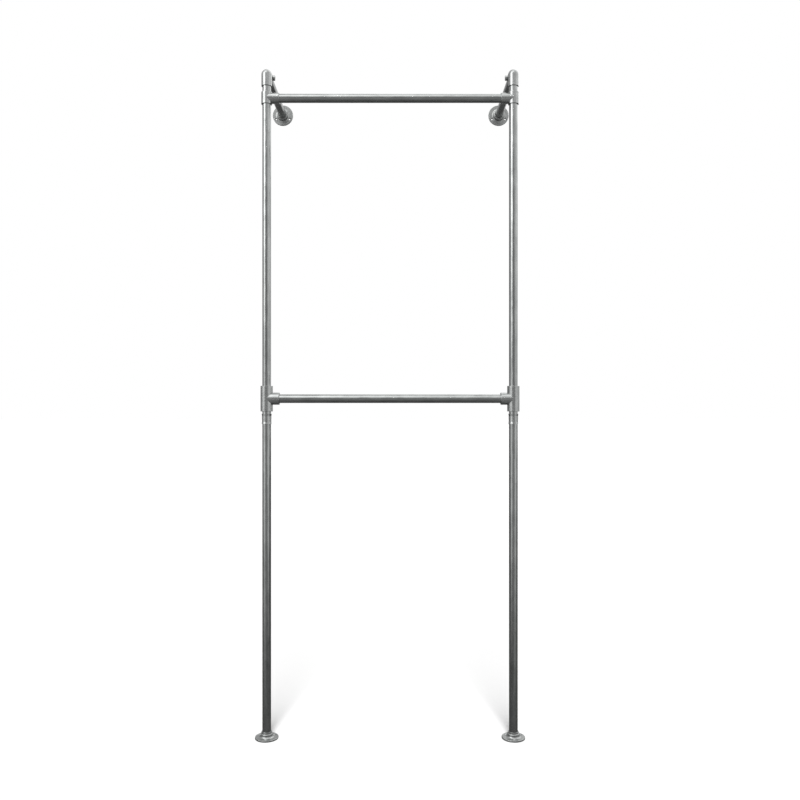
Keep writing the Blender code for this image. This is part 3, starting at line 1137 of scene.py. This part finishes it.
@dataclass(frozen=True)
class Studio:
    """The pale floor, the white background, the light and the camera."""

    high_left_lamp: Patch = Patch(azimuth=-30, elevation=56.5, inner=1, outer=36, gain=1.93)
    low_left_lamp: Patch = Patch(azimuth=-51, elevation=22.8, inner=1, outer=25, gain=3.24)
    rear_right_lamp: Patch = Patch(azimuth=128, elevation=50.4, inner=34.5, outer=37.5, gain=0.92)
    small_right_lamp: Patch = Patch(azimuth=73, elevation=15, inner=1, outer=14, gain=1.09)
    front_flag: Patch = Patch(azimuth=-1.5, elevation=-16.5, inner=33.5, outer=36.5, gain=-0.64)
    rear_left_flag: Patch = Patch(azimuth=-142, elevation=-19.4, inner=10, outer=75, gain=-0.69)
    fill: float = 0.325
    key: float = 0.75
    key_elevation: float = 30.0
    key_angle: float = 20.0
    floor_size: float = 80.0
    floor_height: float = -0.0003
    floor_tone: float = 0.80
    # The painted floor reflection: a glowing sheet that only reflections see, with painted shade by the rack
    # and the studio's light further off.
    painted_reflection_size: float = 400.0
    painted_reflection_height: float = 0.0002
    painted_reflection_tone: float = 0.118
    painted_reflection_reach: float = 21.3
    painted_reflection_fall: float = 1.96
    painted_reflection_lean: float = 0.855
    painted_reflection_clearing: Patch = Patch(azimuth=-5, elevation=0, inner=50, outer=98.5, gain=4.84)
    horizon: float = 1.27
    camera_place: Place = (0.017, -2.717, 1.054)
    lens: float = 36.9
    sensor: float = 36.0
    shift: tuple[float, float] = (0.005625, -0.00125)

    def build(self) -> None:
        """Set the stage round the rack."""
        self._floor()
        self._paint_floor_reflection()
        self._world()
        self._key()
        self._camera()

    def _seen(self, graph: Graph, *kinds: str) -> Socket:
        """1 for rays of the given kinds and 0 for the rest."""
        rays = [graph.node("ShaderNodeLightPath", output=f"Is {kind} Ray") for kind in kinds]
        return graph.node("ShaderNodeClamp", inputs={"Value": sum(rays)})

    def _stage(self, name: str, size: float, height: float, material: bpy.types.Material) -> bpy.types.Object:
        """Lay a square sheet on the stage.

        Args:
            name: Its name.
            size: The length of its sides.
            height: Its height.
            material: Its finish.

        Returns:
            The new sheet.
        """
        shape = bmesh.new()
        bmesh.ops.create_grid(shape, x_segments=1, y_segments=1, size=size / 2)
        mesh = to_mesh(shape, name, Matrix.Translation((0, 0, height)))
        mesh.materials.append(material)
        sheet = new_object(name, mesh)
        return sheet

    def _floor(self) -> None:
        """The pale matt floor, whitened for the rays that see the background and still shadowed."""
        material, graph = new_material("pale_floor")
        matt = graph.node("ShaderNodeBsdfDiffuse", inputs={"Color": (self.floor_tone,) * 3 + (1,)})
        strength = self._seen(graph, "Camera", "Glossy", "Transmission") * (1 - self.floor_tone)
        lift = graph.node("ShaderNodeEmission", inputs={"Color": WHITE, "Strength": strength})
        both = graph.node("ShaderNodeAddShader", inputs={0: matt, 1: lift})
        graph.node("ShaderNodeOutputMaterial", inputs={"Surface": both})
        self._stage("floor", self.floor_size, self.floor_height, material)

    def _paint_floor_reflection(self) -> None:
        """A painted floor reflection: a glowing sheet on the floor that only reflections see.

        It paints shade, dark by the rack and behind it, and takes on the light of the studio further off.
        """
        material, graph = new_material("painted_floor_reflection")
        place = graph.node("ShaderNodeTexCoord", output="Object")
        flat = graph.node("ShaderNodeVectorMath", {"operation": "MULTIPLY"}, {0: place, 1: (1, 1, 0)})
        away = graph.node("ShaderNodeVectorMath", {"operation": "LENGTH"}, {0: flat}, "Value")
        direction = graph.node("ShaderNodeVectorMath", {"operation": "NORMALIZE"}, {0: flat})
        back = graph.node("ShaderNodeSeparateXYZ", inputs={0: place}, output="Y")
        clearing = 1 + self.painted_reflection_clearing.glow(graph, direction)
        share = ((away - back * self.painted_reflection_lean) * clearing / self.painted_reflection_reach) ** self.painted_reflection_fall
        lit = self._studio(graph, direction) * self.horizon - self.painted_reflection_tone
        # Painted reflection: the glow runs from dark painted shade by the rack up to the studio's light
        # further off.
        strength = self.painted_reflection_tone + lit * share / (1 + share)
        sheen = graph.node("ShaderNodeEmission", inputs={"Color": WHITE, "Strength": strength})
        graph.node("ShaderNodeOutputMaterial", inputs={"Surface": sheen})
        material.cycles.emission_sampling = "NONE"
        painted_reflection_sheet = self._stage("painted_floor_reflection", self.painted_reflection_size, self.painted_reflection_height, material)
        for ray in ("camera", "diffuse", "transmission", "volume_scatter", "shadow"):
            setattr(painted_reflection_sheet, f"visible_{ray}", False)

    def _studio(self, graph: Graph, direction: Socket) -> Socket:
        """Work out the light of the white studio with its lamps and flags.

        Args:
            graph: The graph of the world or of the painted floor reflection.
            direction: The direction looked in.

        Returns:
            The light from that direction, never below 0.
        """
        lamps = (self.high_left_lamp, self.low_left_lamp, self.rear_right_lamp, self.small_right_lamp)
        flags = (self.front_flag, self.rear_left_flag)
        light = sum((patch.glow(graph, direction) for patch in lamps + flags), 1.0)
        return graph.node("ShaderNodeMath", {"operation": "MAXIMUM"}, {0: light, 1: 0.0})

    def _world(self) -> None:
        """White behind the rack, lamps and flags in reflections, and an even fill for the rest."""
        world = bpy.data.worlds.new("studio")
        world.use_nodes = True
        graph = Graph(world.node_tree)
        direction = graph.node("ShaderNodeTexCoord", output="Generated")
        studio = self._studio(graph, direction)
        camera = self._seen(graph, "Camera")
        reflected = self._seen(graph, "Glossy", "Transmission")
        strength = self.fill + camera * (1 - self.fill) + reflected * (studio - self.fill)
        light = graph.node("ShaderNodeBackground", inputs={"Color": WHITE, "Strength": strength})
        graph.node("ShaderNodeOutputWorld", inputs={"Surface": light})
        bpy.context.scene.world = world

    def _key(self) -> None:
        """A broad soft key from the front, which gives the floor its shadows."""
        elevation = math.radians(self.key_elevation)
        lamp = bpy.data.lights.new("key_lamp", "SUN")
        lamp.angle = math.radians(self.key_angle)
        lamp.energy = self.key * math.pi / math.sin(elevation)
        item = new_object("key_lamp", lamp)
        item.rotation_euler = (math.radians(90) - elevation, 0, 0)
        item.visible_glossy = False

    def _camera(self) -> None:
        """The camera at the photograph's place, level and square to the rack."""
        camera = bpy.data.cameras.new("camera")
        camera.sensor_width = self.sensor
        camera.lens = self.lens
        camera.shift_x, camera.shift_y = self.shift
        item = new_object("camera", camera)
        item.location = self.camera_place
        item.rotation_euler = (math.radians(90), 0, 0)
        bpy.context.scene.camera = item


def main() -> None:
    """Build the rack and the studio."""
    logging.basicConfig(level=logging.INFO, format="%(name)s: %(message)s")
    bpy.context.scene.view_settings.view_transform = "Standard"
    Rack(Foundry()).build()
    Studio().build()


if __name__ == "__main__":
    main()
